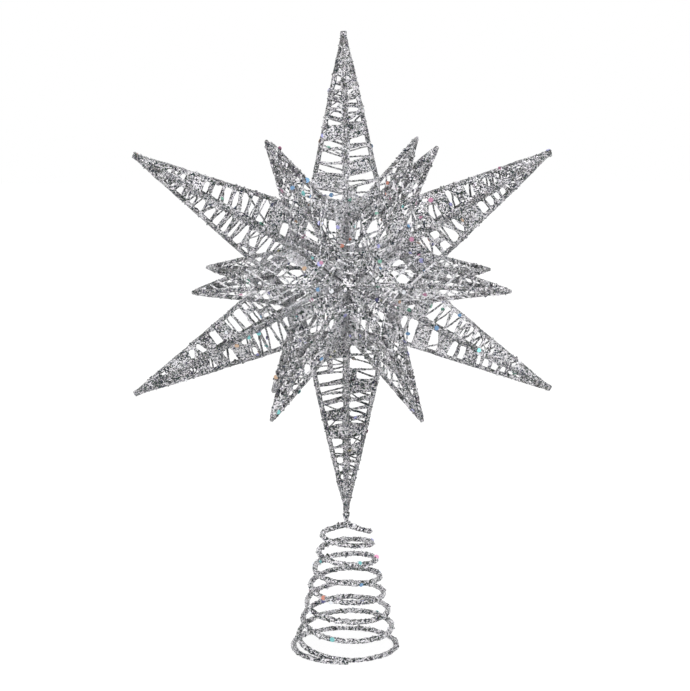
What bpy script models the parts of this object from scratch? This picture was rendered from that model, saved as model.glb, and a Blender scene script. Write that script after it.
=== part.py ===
"""Glitter starburst tree topper: eighteen thread-wound wire spikes on a conical coil spring.

Units are metres with +Z up. The star stands in the XZ plane, its front faces -Y,
and the flat underside of the spring lies on Z = 0.
"""

import math

import bmesh
import bpy
import numpy as np
from mathutils import Matrix, Vector

MM = 0.001

# Driving sizes of the star
LARGE_REACH = 115.0 * MM
SMALL_REACH = 72.0 * MM
SMALL_FORWARD = 48.0 * MM
VALLEY_RADIUS = 36.0 * MM
SHOULDER_RADIUS = 28.0 * MM
HUB_DEPTH = 44.0 * MM

# Driving sizes of the wire and the thread
FRAME_WIRE_RADIUS = 1.1 * MM
THREAD_RADIUS = 0.35 * MM
RING_CORNER = 2.2 * MM
TIP_END_RADIUS = 1.3 * MM
TIP_WRAP = 0.35
LARGE_TIP_LENGTH = 8.5 * MM
SMALL_TIP_LENGTH = 7.0 * MM
WIRE_END_SHARE = 0.45
LARGE_LOOPS = 10
SMALL_LOOPS = 7
THREAD_RISE = 8.2 * MM
THREAD_STOP = 4.4 * MM

# Driving sizes of the spring
SPRING_WIRE_RADIUS = 1.25 * MM
SPRING_FOOT_RADIUS = 26.9 * MM
SPRING_TOP_RADIUS = 11.5 * MM
SPRING_PITCH = 8.9 * MM
SPRING_TURNS = 7.25
SPRING_BACK_LIFT = 6.0 * MM
CREST_SWEEP = 2.5 * MM
CREST_LIFT = 3.0 * MM
TAIL_LIFT = 1.6 * MM
FLAT_DEPTH = 0.5 * MM
NECK_RADIUS = 1.4 * MM
NECK_LENGTH = 6.0 * MM

# Clearances between neighbouring pieces
FRAME_GAP = 0.3 * MM
THREAD_GAP = 0.3 * MM
NECK_GAP = 0.3 * MM
CLOSED_TURN_GAP = 0.6 * MM

# Facets, and the mitre ratio above which a thread takes two points round an edge
SHARP_EDGE = 1.35
POINTS_PER_TURN = 20
TIP_FACETS = 8
NECK_FACETS = 12
AXIS_MARK_SIZE = 10.0 * MM

# Hours of the clock face at which the spikes stand, seen from the front
LARGE_HOURS = range(2, 13, 2)
SMALL_HOURS = range(1, 12, 2)


def clear_scene():
    for obj in list(bpy.data.objects):
        bpy.data.objects.remove(obj, do_unlink=True)


def collection_named(name):
    made = bpy.data.collections.new(name)
    bpy.context.scene.collection.children.link(made)
    return made


def material_named(name, colour, metallic, roughness):
    made = bpy.data.materials.new(name)
    made.use_nodes = True
    shader = made.node_tree.nodes["Principled BSDF"]
    shader.inputs["Base Color"].default_value = (*colour, 1.0)
    shader.inputs["Metallic"].default_value = metallic
    shader.inputs["Roughness"].default_value = roughness
    made.diffuse_color = (*colour, 1.0)
    return made


def tube(name, points, radius, resolution, cyclic=False, tilt=0.0):
    """Closed tube along the points, returned as a mesh object in the helper collection."""
    curve = bpy.data.curves.new(name, "CURVE")
    curve.dimensions = "3D"
    curve.bevel_depth = radius
    curve.bevel_resolution = resolution
    curve.use_fill_caps = True
    spline = curve.splines.new("POLY")
    spline.points.add(len(points) - 1)
    for slot, point in zip(spline.points, points):
        slot.co = (*point, 1.0)
        slot.tilt = tilt
    spline.use_cyclic_u = cyclic
    guide = bpy.data.objects.new(name + "_guide", curve)
    HELPERS.objects.link(guide)
    return settled(guide, name)


def settled(source, name):
    """Helper mesh object that holds the evaluated shape of the source, which is removed."""
    bpy.context.view_layer.update()
    graph = bpy.context.evaluated_depsgraph_get()
    mesh = bpy.data.meshes.new_from_object(source.evaluated_get(graph))
    place = source.matrix_world.copy()
    bpy.data.objects.remove(source, do_unlink=True)
    shape = bmesh.new()
    shape.from_mesh(mesh)
    bmesh.ops.remove_doubles(shape, verts=shape.verts, dist=0.001 * MM)
    bmesh.ops.recalc_face_normals(shape, faces=shape.faces)
    shape.to_mesh(mesh)
    shape.free()
    mesh.name = name
    made = bpy.data.objects.new(name + "_helper", mesh)
    made.matrix_world = place
    made.hide_render = True
    made.display_type = "WIRE"
    HELPERS.objects.link(made)
    return made


def tip_cone(name, tip, inward, length, base_radius):
    """Blunt cone that ends at the tip and widens along the inward direction."""
    shape = bmesh.new()
    bmesh.ops.create_cone(
        shape,
        cap_ends=True,
        segments=TIP_FACETS,
        radius1=base_radius,
        radius2=TIP_END_RADIUS,
        depth=length,
    )
    turn = (-inward).to_track_quat("Z", "Y").to_matrix().to_4x4()
    bmesh.ops.transform(
        shape,
        matrix=Matrix.Translation(tip + inward * (length / 2)) @ turn,
        verts=shape.verts,
    )
    mesh = bpy.data.meshes.new(name)
    shape.to_mesh(mesh)
    shape.free()
    made = bpy.data.objects.new(name, mesh)
    made.hide_render = True
    made.display_type = "WIRE"
    HELPERS.objects.link(made)
    return made


def combined(name, first, others, operation):
    """Result of one Boolean after another, as a helper mesh object."""
    for other in others:
        step = first.modifiers.new(operation.lower(), "BOOLEAN")
        step.operation = operation
        step.solver = "EXACT"
        step.object = other
    made = settled(first, name)
    for other in others:
        bpy.data.objects.remove(other, do_unlink=True)
    return made


class Pyramid:
    """One four-sided spike: inset base corners, tip and lateral face normals."""

    def __init__(self, corners, tip):
        self.tip = Vector(tip)
        outer = [Vector(corner) for corner in corners]
        middle = sum(outer, Vector()) / len(outer)
        inset = FRAME_WIRE_RADIUS + FRAME_GAP / 2
        base_normal = (outer[1] - outer[0]).cross(outer[2] - outer[0]).normalized()
        walls = []
        for i, corner in enumerate(outer):
            wall = corner.cross(outer[(i + 1) % 4]).normalized()
            walls.append(wall if wall.dot(middle) > 0 else -wall)
        self.corners = []
        for i, corner in enumerate(outer):
            rows = Matrix((walls[i - 1], walls[i], base_normal))
            reach = Vector((inset, inset, base_normal.dot(corner)))
            self.corners.append(rows.inverted() @ reach)
        self.middle = sum(self.corners, Vector()) / 4
        self.faces = []
        for i, corner in enumerate(self.corners):
            face = (self.corners[(i + 1) % 4] - corner).cross(self.tip - corner).normalized()
            self.faces.append(face if face.dot(corner - self.middle) > 0 else -face)
        self.inward = sum(((c - self.tip).normalized() for c in self.corners), Vector()).normalized()

    def frame(self, name, tip_length):
        """Base ring, four edge wires and tip joined into one welded frame."""
        ring = []
        for i, corner in enumerate(self.corners):
            before = (self.corners[i - 1] - corner).normalized()
            after = (self.corners[(i + 1) % 4] - corner).normalized()
            ring.append(corner + before * RING_CORNER)
            ring.append(corner + after * RING_CORNER)
        base = tube(name, ring, FRAME_WIRE_RADIUS, 1, cyclic=True)
        pieces = []
        spread = 0.0
        for i, corner in enumerate(self.corners):
            along = (corner - self.tip).normalized()
            slope = along.dot(self.inward)
            spread = max(spread, tip_length * math.sqrt(1.0 / slope**2 - 1.0))
            near = self.tip + along * (WIRE_END_SHARE * tip_length)
            turned = math.radians(7.0 + 13.0 * i)
            pieces.append(
                tube(f"{name}_edge_{i}", [corner, near], FRAME_WIRE_RADIUS, 1, tilt=turned)
            )
        cone_base = spread + TIP_WRAP * FRAME_WIRE_RADIUS
        pieces.append(tip_cone(name + "_tip", self.tip, self.inward, tip_length, cone_base))
        return combined(name, base, pieces, "UNION")

    def wound_path(self, loops, tip_length):
        """Corner points of a thread that winds round the four edge wires towards the tip."""
        stand_off = FRAME_WIRE_RADIUS + THREAD_GAP + THREAD_RADIUS
        bends = [self.thread_bend(i, stand_off) for i in range(4)]
        points = []
        count = 4 * loops - 1
        for j in range(count + 1):
            corner = self.corners[j % 4]
            edge = (self.tip - corner).length
            wound = edge - THREAD_RISE - THREAD_STOP - tip_length
            share = (THREAD_RISE + wound * j / count) / edge
            spot = corner.lerp(self.tip, share)
            points.extend(spot + shift for shift in bends[j % 4])
        return points

    def thread_bend(self, i, stand_off):
        """Shifts from edge wire i to the thread round it: one point, or two on a sharp edge."""
        first = self.faces[i - 1]
        second = self.faces[i]
        meet = first.dot(second)
        mitre = (first + second) * (stand_off / (1.0 + meet))
        if mitre.length < SHARP_EDGE * stand_off:
            return [mitre]
        outward = mitre.normalized()
        arriving = (first * meet - second).normalized()
        leaving = (second * meet - first).normalized()
        back = (mitre.length - stand_off) / -arriving.dot(outward)
        return [mitre + arriving * back, mitre + leaving * back]


def least_gap(points, radius, apart):
    """Smallest clear distance between stretches of one tube that lie apart along it."""
    dense = []
    for first, second in zip(points[:-1], points[1:]):
        for k in range(4):
            dense.append(Vector(first).lerp(Vector(second), k / 4))
    spots = np.array([tuple(p) for p in dense])
    steps = np.linalg.norm(np.diff(spots, axis=0), axis=1)
    along = np.concatenate([[0.0], np.cumsum(steps)])
    least = math.inf
    for i in range(len(spots)):
        far = along > along[i] + apart
        if far.any():
            least = min(least, np.linalg.norm(spots[far] - spots[i], axis=1).min())
    return least - 2 * radius


def spring_path():
    """Centre line of the spring: closed foot turn, rising cone and a last half turn bent across."""
    foot = SPRING_WIRE_RADIUS - FLAT_DEPTH
    step = 2 * SPRING_WIRE_RADIUS + CLOSED_TURN_GAP
    second = SPRING_FOOT_RADIUS - step
    points = []
    last = SPRING_TURNS + 0.5
    for j in range(round(last * POINTS_PER_TURN) + 1):
        turn = j / POINTS_PER_TURN
        angle = 2 * math.pi * turn
        rising = min(max(turn - 1.0, 0.0), SPRING_TURNS - 1.0)
        share = rising / (SPRING_TURNS - 1.0)
        radius = second + (SPRING_TOP_RADIUS - second) * share
        radius += step * (1.0 - min(turn, 1.0))
        lean = SPRING_BACK_LIFT * (1.0 - share) * (1.0 - math.cos(angle)) / 2
        height = foot + SPRING_PITCH * rising + (lean if turn > 1.0 else 0.0)
        across = -radius * math.cos(angle)
        if turn > SPRING_TURNS:
            tail = (turn - SPRING_TURNS) / 0.5
            across = CREST_SWEEP * math.sin(2 * math.pi * tail)
            height = foot + SPRING_PITCH * rising
            height += CREST_LIFT * math.sin(math.pi * tail) + TAIL_LIFT * tail
        points.append(Vector((-radius * math.sin(angle), across, height)))
    return points


def make_node(name, mesh, material, parent=None, location=(0, 0, 0), rotation=(0, 0, 0)):
    made = bpy.data.objects.new(name, mesh)
    if not mesh.materials:
        mesh.materials.append(material)
    made.location = location
    made.rotation_euler = rotation
    made.parent = parent
    PART.objects.link(made)
    return made


def pivot(name, location):
    made = bpy.data.objects.new(name, None)
    made.location = location
    made.empty_display_size = AXIS_MARK_SIZE
    PART.objects.link(made)
    return made


def mesh_of(helper, smooth):
    mesh = helper.data
    for face in mesh.polygons:
        face.use_smooth = smooth
    helper.hide_viewport = True
    return mesh


def build_spring(material):
    """Coil spring with its foot cut flat; returns the height of its crest."""
    path = spring_path()
    print(f"spring gap to itself {least_gap(path, SPRING_WIRE_RADIUS, 30 * MM) / MM:.2f} mm")
    wire = tube("spring", path, SPRING_WIRE_RADIUS, 1)
    shape = bmesh.new()
    side = 4 * SPRING_FOOT_RADIUS
    bmesh.ops.create_cube(shape, size=side)
    bmesh.ops.translate(shape, vec=(0, 0, -side / 2), verts=shape.verts)
    mesh = bpy.data.meshes.new("floor_cut")
    shape.to_mesh(mesh)
    shape.free()
    cutter = bpy.data.objects.new("floor_cut", mesh)
    cutter.hide_render = True
    cutter.display_type = "WIRE"
    HELPERS.objects.link(cutter)
    flat = combined("spring", wire, [cutter], "DIFFERENCE")
    make_node("base_spring", mesh_of(flat, True), material)
    middle = round((SPRING_TURNS + 0.25) * POINTS_PER_TURN)
    return path[middle].z


def build_neck(crest, material):
    """Round-ended solder neck on the crest of the spring; returns the height of its middle."""
    shape = bmesh.new()
    bmesh.ops.create_uvsphere(
        shape, u_segments=NECK_FACETS, v_segments=NECK_FACETS // 2 + 1, radius=NECK_RADIUS
    )
    stretch = NECK_LENGTH / 2 - NECK_RADIUS
    for vert in shape.verts:
        vert.co.z += math.copysign(stretch, vert.co.z)
    mesh = bpy.data.meshes.new("solder_neck")
    shape.to_mesh(mesh)
    shape.free()
    for face in mesh.polygons:
        face.use_smooth = True
    middle = crest + SPRING_WIRE_RADIUS + NECK_GAP + NECK_LENGTH / 2
    make_node("solder_neck", mesh, material, location=(0, 0, middle))
    return middle


def clock_turn(hour):
    """Turn about Y that points a spike at an hour of the clock face."""
    return math.radians(30 * hour - 90)


def build_star(axis_height, wire, thread):
    """Eighteen wound spikes round the star's centre, which stands above the nod axis."""
    cos30 = math.cos(math.radians(30))
    sin30 = math.sin(math.radians(30))
    shoulder_depth = HUB_DEPTH * (1.0 - SHOULDER_RADIUS * cos30 / VALLEY_RADIUS)
    valley = (VALLEY_RADIUS * cos30, 0.0, VALLEY_RADIUS * sin30)
    large = Pyramid(
        [
            valley,
            (SHOULDER_RADIUS, -shoulder_depth, 0.0),
            (valley[0], 0.0, -valley[2]),
            (SHOULDER_RADIUS, shoulder_depth, 0.0),
        ],
        (LARGE_REACH, 0.0, 0.0),
    )
    flank = SHOULDER_RADIUS * sin30
    small = Pyramid(
        [
            (VALLEY_RADIUS, 0.0, 0.0),
            (SHOULDER_RADIUS * cos30, -shoulder_depth, flank),
            (0.0, -HUB_DEPTH, 0.0),
            (SHOULDER_RADIUS * cos30, -shoulder_depth, -flank),
        ],
        (SMALL_REACH, -SMALL_FORWARD, 0.0),
    )
    large_frame = mesh_of(large.frame("large_frame", LARGE_TIP_LENGTH), False)
    small_frame = mesh_of(small.frame("small_frame", SMALL_TIP_LENGTH), False)
    large_path = large.wound_path(LARGE_LOOPS, LARGE_TIP_LENGTH)
    small_path = small.wound_path(SMALL_LOOPS, SMALL_TIP_LENGTH)
    for label, path in (("large", large_path), ("small", small_path)):
        print(f"{label} winding gap to itself {least_gap(path, THREAD_RADIUS, 12 * MM) / MM:.2f} mm")
    large_thread = mesh_of(tube("large_winding", large_path, THREAD_RADIUS, 0), False)
    small_thread = mesh_of(tube("small_winding", small_path, THREAD_RADIUS, 0), False)

    axis = pivot("star_nod_axis", (0, 0, axis_height))
    centre = (0, 0, NECK_LENGTH / 2 + NECK_GAP + LARGE_REACH)
    for hour in LARGE_HOURS:
        turn = (0, clock_turn(hour), 0)
        make_node(f"large_frame_{hour}", large_frame, wire, axis, centre, turn)
        make_node(f"large_winding_{hour}", large_thread, thread, axis, centre, turn)
    for side, roll in (("front", 0.0), ("back", math.pi)):
        for hour in SMALL_HOURS:
            turn = (roll, clock_turn(hour), 0)
            make_node(f"{side}_frame_{hour}", small_frame, wire, axis, centre, turn)
            make_node(f"{side}_winding_{hour}", small_thread, thread, axis, centre, turn)


clear_scene()
PART = collection_named("glitter_star_tree_topper")
HELPERS = collection_named("helpers")
HELPERS.hide_render = True

WIRE_FINISH = material_named("silver_glitter_wire", (0.50, 0.50, 0.51), 0.75, 0.38)
THREAD_FINISH = material_named("silver_glitter_thread", (0.62, 0.62, 0.63), 0.55, 0.45)
SPRING_FINISH = material_named("silver_glitter_spring", (0.46, 0.46, 0.47), 0.75, 0.38)
NECK_FINISH = material_named("solder", (0.55, 0.55, 0.55), 0.9, 0.35)

crest_height = build_spring(SPRING_FINISH)
neck_middle = build_neck(crest_height, NECK_FINISH)
build_star(neck_middle, WIRE_FINISH, THREAD_FINISH)
print(f"crest {crest_height / MM:.2f} mm, neck middle {neck_middle / MM:.2f} mm")
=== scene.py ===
"""Looks of a silver glitter starburst tree topper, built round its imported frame.

Eighteen wire pyramids carry a glued, glittered thread web. The lowest one stands on the crest of a
conical coil spring. Lengths are metres, +Z is up and the front of the star faces -Y.
"""

import logging
import math
from dataclasses import astuple, dataclass, field
from enum import Enum

import bmesh
import bpy
import numpy as np
from mathutils import Euler, Matrix, Vector


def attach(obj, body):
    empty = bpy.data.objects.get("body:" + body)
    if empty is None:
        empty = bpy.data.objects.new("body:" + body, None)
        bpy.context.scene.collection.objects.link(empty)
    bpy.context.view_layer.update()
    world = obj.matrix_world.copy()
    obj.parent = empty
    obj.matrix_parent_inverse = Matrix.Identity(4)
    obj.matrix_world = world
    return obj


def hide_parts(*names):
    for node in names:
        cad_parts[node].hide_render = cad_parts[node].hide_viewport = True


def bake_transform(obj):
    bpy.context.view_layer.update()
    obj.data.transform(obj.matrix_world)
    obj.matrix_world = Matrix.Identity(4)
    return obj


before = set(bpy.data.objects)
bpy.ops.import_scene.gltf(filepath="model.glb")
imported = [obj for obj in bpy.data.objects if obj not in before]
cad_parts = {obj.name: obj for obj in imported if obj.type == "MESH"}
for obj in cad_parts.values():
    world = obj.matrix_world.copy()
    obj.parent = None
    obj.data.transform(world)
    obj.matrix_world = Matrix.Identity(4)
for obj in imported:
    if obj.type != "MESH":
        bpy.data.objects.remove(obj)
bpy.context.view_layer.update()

MM = 0.001
LOG = logging.getLogger("tree_topper")
MIDDLE_GREY = (0.5, 0.5, 0.5)
HALF_TURN = 3.14

Socket = bpy.types.NodeSocket
Node = bpy.types.Node
Mesh = bpy.types.Mesh
Material = bpy.types.Material
Piece = bpy.types.Object
Net = tuple[np.ndarray, np.ndarray]
Hit = tuple[Vector, Vector]


class SpikeKind(Enum):
    """Where a spike stands on the star."""

    LARGE = "large"
    FRONT = "front"
    BACK = "back"


class Slot(Enum):
    """Material slots of the record, listed beside each spike's pieces but not given to them."""

    WIRE = "glitter_wire"
    THREAD = "glitter_thread"
    SPRING = "spring_wire"
    SOLDER = "solder"


class Coat(Enum):
    """Mixes of glitter, each for its own pieces."""

    WIRE = "silver_glitter_wire"
    WEB = "silver_glitter_web"
    PALE_WEB = "silver_glitter_pale_web"
    BRIGHT_WEB = "silver_glitter_bright_web"
    GREY_WEB = "silver_glitter_grey_web"
    DARK_WEB = "silver_glitter_dark_web"
    FINE_WEB = "silver_glitter_fine_web"
    SPRING = "silver_glitter_spring"


class SequinTint(Enum):
    """Foil colours of the loose sequins, as linear red, green and blue."""

    TEAL = (0.24, 0.60, 0.60)
    BLUE = (0.20, 0.36, 0.58)
    VIOLET = (0.38, 0.38, 0.66)
    ROSE = (0.62, 0.30, 0.44)
    RED = (0.56, 0.24, 0.18)
    GOLD = (0.80, 0.77, 0.40)
    GREEN = (0.24, 0.48, 0.38)
    COPPER = (0.66, 0.46, 0.32)
    NAVY = (0.08, 0.08, 0.18)
    PEARL = (0.88, 0.90, 0.94)


@dataclass
class Line:
    """Points of a strand's centre line, with its thickness there as a share of the radius."""

    points: np.ndarray
    thick: np.ndarray | float = 1.0
    closed: bool = False


@dataclass(frozen=True)
class StrandLook:
    """How a wire or thread is coated; the waver bends it and the lumps sit on it."""

    radius: float
    step: float
    sides: int
    waver: float
    lump: float


@dataclass(frozen=True)
class FlakeLook:
    """Glitter flakes on a piece: size, number on a square metre, lean, and what the core adds."""

    size: float
    density: float
    tilt: float
    core_extra: float = 0.0
    core_growth: float = 0.0
    core_tilt: float = 0.0


class NodeMaker:
    """Adds and links the nodes of one tree."""

    def __init__(self, tree: bpy.types.NodeTree) -> None:
        """Takes the tree that the nodes go into."""
        self.tree = tree

    def feed(self, node: Node, inputs: dict) -> None:
        """Sets a node's inputs.

        Args:
            node: the node.
            inputs: socket name or index to a value or to a socket that feeds it.
        """
        for key, value in inputs.items():
            if isinstance(key, str):
                target = next(s for s in node.inputs if s.name == key and s.enabled)
            else:
                target = node.inputs[key]
            if isinstance(value, Socket):
                self.tree.links.new(value, target)
            else:
                target.default_value = value

    def add(self, kind: str, inputs: dict | None = None, **settings: object) -> Node:
        """Adds one node.

        Args:
            kind: Blender's name for the node type.
            inputs: what feeds it, as in feed.
            settings: properties of the node, set before its inputs.

        Returns:
            The node.
        """
        node = self.tree.nodes.new(kind)
        for key, value in settings.items():
            setattr(node, key, value)
        self.feed(node, inputs or {})
        return node

    def maths(self, operation: str, first: object, second: object) -> Socket:
        """Adds a maths node on two values or sockets and returns its result."""
        return self.add("ShaderNodeMath", {0: first, 1: second}, operation=operation).outputs[0]

    def vectors(self, operation: str, first: Socket, second: object = None) -> Socket:
        """Adds a vector maths node.

        Args:
            operation: Blender's name for the operation.
            first: socket of the first vector.
            second: the second vector, or the number to scale by.

        Returns:
            The socket of the result.
        """
        node = self.add("ShaderNodeVectorMath", {0: first}, operation=operation)
        if second is not None:
            self.feed(node, {"Scale" if operation == "SCALE" else 1: second})
        return node.outputs["Value" if operation == "DISTANCE" else 0]

    def ranged(
        self, value: Socket, low: object, high: object, start: float = 0.0, stop: float = 1.0
    ) -> Socket:
        """Maps a value from one range to another.

        Args:
            value: the value.
            low: where the new range starts.
            high: where the new range stops.
            start: where the old range starts.
            stop: where the old range stops.

        Returns:
            The socket of the mapped value.
        """
        ends = {"From Min": start, "From Max": stop, "To Min": low, "To Max": high}
        return self.add("ShaderNodeMapRange", {"Value": value, **ends}).outputs[0]


class TreeMaker(NodeMaker):
    """Builds one Geometry Nodes tree and runs it on meshes."""

    def __init__(self, name: str) -> None:
        """Starts a tree with one geometry input and one geometry output.

        Args:
            name: name of the node group.
        """
        super().__init__(bpy.data.node_groups.new(name, "GeometryNodeTree"))
        for way in ("INPUT", "OUTPUT"):
            self.tree.interface.new_socket("Geometry", in_out=way, socket_type="NodeSocketGeometry")
        self.entry = self.tree.nodes.new("NodeGroupInput")
        self.exit = self.tree.nodes.new("NodeGroupOutput")

    def takes(self, inputs: dict[str, float | int | None]) -> list[Socket]:
        """Adds named inputs.

        Args:
            inputs: name to default: a decimal, a whole number, or nothing for a material.

        Returns:
            The sockets that give the inputs' values.
        """
        kinds = {float: "NodeSocketFloat", int: "NodeSocketInt", type(None): "NodeSocketMaterial"}
        for name, value in inputs.items():
            kind = kinds[type(value)]
            made = self.tree.interface.new_socket(name, in_out="INPUT", socket_type=kind)
            if value is not None:
                made.default_value = value
        return [self.entry.outputs[name] for name in inputs]

    def chance(self, low: float, high: float, seed: Socket) -> Socket:
        """Adds a random number between two limits and returns its socket."""
        limits = {2: low, 3: high, "Seed": seed}
        return self.add("FunctionNodeRandomValue", limits, data_type="FLOAT").outputs[1]

    def scattered(
        self,
        points: Socket,
        copy: Socket,
        facing: Socket,
        tilt: Socket,
        scale: Socket,
        seed: Socket,
    ) -> Socket:
        """Sets a copy on every point, turned any way about its axis and leaning at random.

        Args:
            points: where the copies go.
            copy: what is copied.
            facing: rotation of an upright copy.
            tilt: greatest lean.
            scale: size of each copy.
            seed: seed of the turns.

        Returns:
            The socket of the copies.
        """
        back = self.maths("MULTIPLY", tilt, -1.0)
        least = self.add("ShaderNodeCombineXYZ", {"X": back, "Y": back, "Z": -HALF_TURN})
        most = self.add("ShaderNodeCombineXYZ", {"X": tilt, "Y": tilt, "Z": HALF_TURN})
        turns = {0: least.outputs[0], 1: most.outputs[0], "Seed": seed}
        turn = self.add("FunctionNodeRandomValue", turns, data_type="FLOAT_VECTOR").outputs[0]
        leaning = self.add(
            "FunctionNodeRotateRotation", {0: facing, 1: turn}, rotation_space="LOCAL"
        ).outputs[0]
        where = {"Points": points, "Instance": copy, "Rotation": leaning, "Scale": scale}
        return self.add("GeometryNodeInstanceOnPoints", where).outputs[0]

    def close(self, geometry: Socket, material: Socket) -> None:
        """Ends the tree in Realize Instances and Set Material.

        Args:
            geometry: what the tree has made.
            material: the finish that goes on it.
        """
        real = self.add("GeometryNodeRealizeInstances", {"Geometry": geometry}).outputs[0]
        done = self.add("GeometryNodeSetMaterial", {"Geometry": real, "Material": material})
        self.tree.links.new(done.outputs[0], self.exit.inputs[0])

    def grow(self, mesh: Mesh, values: dict[str, object]) -> Mesh:
        """Runs the tree on a mesh.

        Args:
            mesh: the mesh that goes in, removed afterwards.
            values: input name to value.

        Returns:
            The result as a plain mesh.
        """
        obj = bpy.data.objects.new("growing", mesh)
        bpy.context.scene.collection.objects.link(obj)
        modifier = obj.modifiers.new("grow", "NODES")
        modifier.node_group = self.tree
        sockets = self.tree.interface.items_tree
        names = {s.name: s.identifier for s in sockets if s.in_out == "INPUT"}
        for key, value in values.items():
            modifier[names[key]] = value
        bpy.context.view_layer.update()
        graph = bpy.context.evaluated_depsgraph_get()
        made = bpy.data.meshes.new_from_object(obj.evaluated_get(graph))
        bpy.data.objects.remove(obj, do_unlink=True)
        bpy.data.meshes.remove(mesh)
        return made


class CoatedStrand(TreeMaker):
    """Tree that turns polylines into lumpy coated wires or threads."""

    sizes = {"Radius": MM, "Step": MM, "Sides": 8, "Waver": 0.1 * MM, "Lump": 0.1 * MM}
    bend_scale = 140.0
    lump_scale = 900.0
    lump_floor = 0.42

    def __init__(self) -> None:
        """Builds the tree: even steps, a slow waver, a round sweep and fine lumps."""
        super().__init__("coated_strand")
        inputs = {**self.sizes, "Seed": 0.0, "Finish": None}
        radius, step, sides, waver, lump, seed, material = self.takes(inputs)
        lines = self.add("GeometryNodeMeshToCurve", {"Mesh": self.entry.outputs[0]}).outputs[0]
        steps = {"Curve": lines, "Length": step}
        even = self.add("GeometryNodeResampleCurve", steps, mode="LENGTH").outputs[0]
        spot = self.add("GeometryNodeInputPosition").outputs[0]
        apart = self.add("ShaderNodeCombineXYZ", {"X": seed, "Y": seed, "Z": seed}).outputs[0]
        where = self.vectors("ADD", spot, apart)
        noise = {"Vector": where, "Scale": self.bend_scale, "Detail": 1.0}
        slow = self.add("ShaderNodeTexNoise", noise).outputs[1]
        shift = self.vectors("SCALE", self.vectors("SUBTRACT", slow, MIDDLE_GREY), waver)
        bent = self.moved(even, shift)
        thick = self.add("GeometryNodeInputNamedAttribute", {"Name": "thick"}, data_type="FLOAT")
        width = self.maths("MULTIPLY", radius, thick.outputs[0])
        sized = self.add("GeometryNodeSetCurveRadius", {"Curve": bent, "Radius": width}).outputs[0]
        circle = {"Resolution": sides, "Radius": 1.0}
        ring = self.add("GeometryNodeCurvePrimitiveCircle", circle, mode="RADIUS").outputs[0]
        scale = self.add("GeometryNodeInputRadius").outputs[0]
        sweep = {"Curve": sized, "Profile Curve": ring, "Fill Caps": True, "Scale": scale}
        tube = self.add("GeometryNodeCurveToMesh", sweep).outputs[0]
        noise = {"Vector": where, "Scale": self.lump_scale, "Detail": 2.0}
        fine = self.add("ShaderNodeTexNoise", noise).outputs[0]
        height = self.maths("MULTIPLY", self.maths("SUBTRACT", fine, self.lump_floor), lump)
        normal = self.add("GeometryNodeInputNormal").outputs[0]
        self.close(self.moved(tube, self.vectors("SCALE", normal, height)), material)

    def moved(self, geometry: Socket, offset: Socket) -> Socket:
        """Moves every point of a geometry by its own offset and returns the result."""
        inputs = {"Geometry": geometry, "Offset": offset}
        return self.add("GeometryNodeSetPosition", inputs).outputs[0]

    def coat(self, lines: list[Line], look: StrandLook, seed: float, finish: Material) -> Mesh:
        """Coats some lines.

        Args:
            lines: the centre lines.
            look: how they are coated.
            seed: where in the noise they lie.
            finish: the material.

        Returns:
            The strands as one mesh.
        """
        values = dict(zip(self.sizes, astuple(look)))
        return self.grow(polyline_mesh(lines), {**values, "Seed": seed, "Finish": finish})


class GlitterFlakes(TreeMaker):
    """Tree that scatters tilted glitter flakes over a mesh and keeps the mesh."""

    names = ("Flake", "Density", "Tilt", "Core Extra", "Core Growth", "Core Tilt")
    cone = {"Vertices": 5, "Radius Top": 0.0, "Radius Bottom": 1.0, "Depth": 0.35}
    spread = (0.6, 1.25)
    # Shade of each flake, near black to white: partly its tone, partly a painted glint or dark
    # reflection.
    shine = (0.02, 1.0)
    core_reach = (32.0 * MM, 64.0 * MM)

    def __init__(self) -> None:
        """Builds the tree: flat cones on random spots, each with its own shade, partly tone and
        partly painted glint.
        """
        super().__init__("glitter_flakes")
        inputs = {**dict.fromkeys(self.names, 0.0), "Seed": 1, "Core Height": 0.0, "Finish": None}
        size, density, tilt, extra, growth, upright, seed, core, material = self.takes(inputs)
        surface = self.entry.outputs[0]
        places = {"Mesh": surface, "Density": self.raised(density, core, extra), "Seed": seed}
        spots = self.add(
            "GeometryNodeDistributePointsOnFaces", places, distribute_method="RANDOM"
        ).outputs
        flake = self.add("GeometryNodeMeshCone", self.cone, fill_type="NGON").outputs["Mesh"]
        lean = self.raised(tilt, core, upright)
        grown = self.raised(size, core, growth)
        scale = self.maths("MULTIPLY", grown, self.chance(*self.spread, seed))
        copies = self.scattered(spots["Points"], flake, spots["Rotation"], lean, scale, seed)
        mark = {"Geometry": copies, "Name": "flake", "Value": self.chance(*self.shine, seed)}
        marked = self.add(
            "GeometryNodeStoreNamedAttribute", mark, data_type="FLOAT", domain="INSTANCE"
        )
        both = self.add("GeometryNodeJoinGeometry", {0: surface})
        self.feed(both, {0: marked.outputs[0]})
        self.close(both.outputs[0], material)

    def raised(self, value: Socket, core: Socket, extra: Socket) -> Socket:
        """Raises a value towards the core of the star.

        Args:
            value: the value away from the core.
            core: height of the core.
            extra: share that is added at the core.

        Returns:
            The value at each place.
        """
        spot = self.add("GeometryNodeInputPosition").outputs[0]
        middle = self.add("ShaderNodeCombineXYZ", {"Z": core}).outputs[0]
        far = self.vectors("DISTANCE", spot, middle)
        near = self.ranged(far, extra, 0.0, *self.core_reach)
        return self.maths("MULTIPLY", value, self.maths("ADD", near, 1.0))

    def scatter(
        self, mesh: Mesh, look: FlakeLook, seed: int, finish: Material, core: float = 0.0
    ) -> Mesh:
        """Scatters flakes over a mesh.

        Args:
            mesh: what they stick to.
            look: how they look.
            seed: seed of their places and shades.
            finish: the material.
            core: height of the star's core.

        Returns:
            The mesh with its flakes.
        """
        values = {**dict(zip(self.names, astuple(look))), "Core Height": core}
        return self.grow(mesh, {**values, "Seed": seed, "Finish": finish})


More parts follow.
